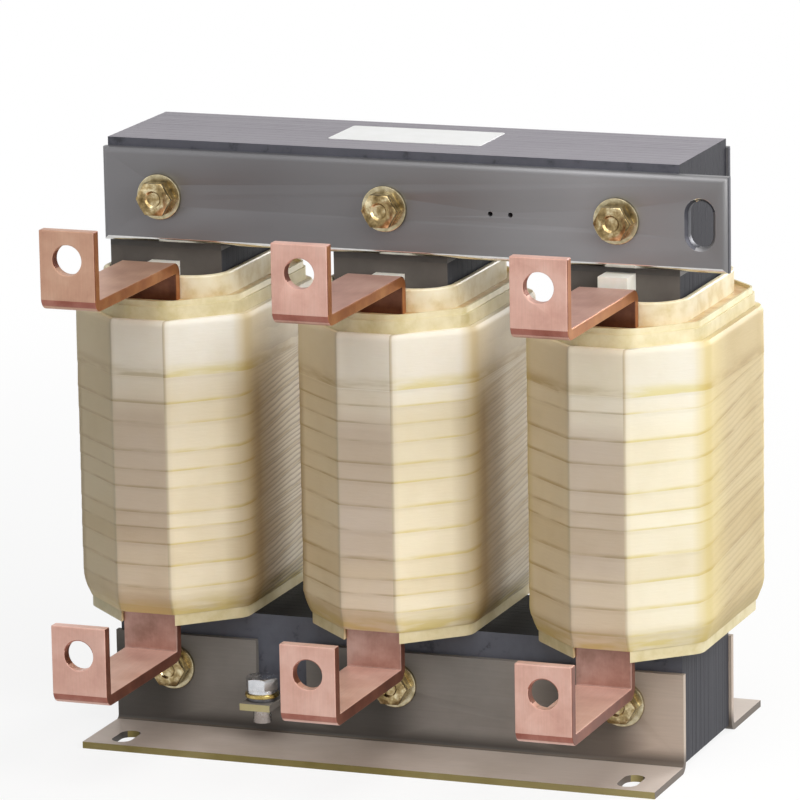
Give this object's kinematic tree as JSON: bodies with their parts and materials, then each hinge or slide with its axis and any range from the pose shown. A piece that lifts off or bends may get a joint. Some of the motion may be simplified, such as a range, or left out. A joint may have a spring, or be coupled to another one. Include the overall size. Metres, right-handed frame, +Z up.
{
  "type": "line reactor",
  "caption": "Three-phase line reactor: laminated core with eight-sided tape-wrapped coils, bent copper terminal bars, clamp bars with a lifting lug and slotted floor brackets.",
  "frame": {"origin": "middle of the mounting footprint, on the floor plane under the core", "axes": "+X along the core towards the lifting lug, terminals face -Y, +Z up"},
  "size_m": [0.2978, 0.2135, 0.264],
  "materials": {
    "core_steel": "resin varnish over stacked laminations",
    "spacer_board": "pressed glass-resin board",
    "clamp_steel": "rolled flat bar, galvanised and satin",
    "bracket_steel": "folded sheet with a warm zinc passivation",
    "bolt_zinc": "yellow chromated zinc plate",
    "bolt_insulation": "wound paper tube",
    "former_board": "pressed board, varnished",
    "foil": "copper foil wound with film",
    "margin_strip": "varnished edge strip",
    "sleeve_film": "insulating laminate, varnished",
    "coil_tape": "lapped shrink tape in cured resin",
    "wedge_plastic": "cast packing wedge",
    "copper": "sawn and bent flat copper bar, matt",
    "earth_steel": "bright zinc plate",
    "earth_brass": "stamped sheet, bright"
  },
  "bodies": {
    "root": {"lower_yoke": "core_steel", "upper_yoke": "core_steel", "left_limb": "core_steel", "centre_limb": "core_steel", "right_limb": "core_steel", "gap_spacers": "spacer_board", "upper_front_clamp": "clamp_steel", "upper_rear_clamp": "clamp_steel", "lower_front_bracket": "bracket_steel", "lower_rear_bracket": "bracket_steel", "upper_bolts": "bolt_zinc", "upper_washers": "bolt_zinc", "upper_nuts": "bolt_zinc", "lower_bolts": "bolt_zinc", "lower_washers": "bolt_zinc", "lower_nuts": "bolt_zinc", "bolt_sleeves": "bolt_insulation", "left_former": "former_board", "centre_former": "former_board", "right_former": "former_board", "left_winding": "foil", "centre_winding": "foil", "right_winding": "foil", "left_margins": "margin_strip", "centre_margins": "margin_strip", "right_margins": "margin_strip", "left_sleeve": "sleeve_film", "centre_sleeve": "sleeve_film", "right_sleeve": "sleeve_film", "left_wrap": "coil_tape", "centre_wrap": "coil_tape", "right_wrap": "coil_tape", "coil_wedges": "wedge_plastic", "upper_left_terminal": "copper", "upper_centre_terminal": "copper", "upper_right_terminal": "copper", "lower_left_terminal": "copper", "lower_centre_terminal": "copper", "lower_right_terminal": "copper", "earth_screw": "earth_steel", "earth_spring_washer": "earth_steel", "earth_tooth_washer": "earth_steel", "earth_clamp_washer": "earth_brass"}
  },
  "joints": []
}
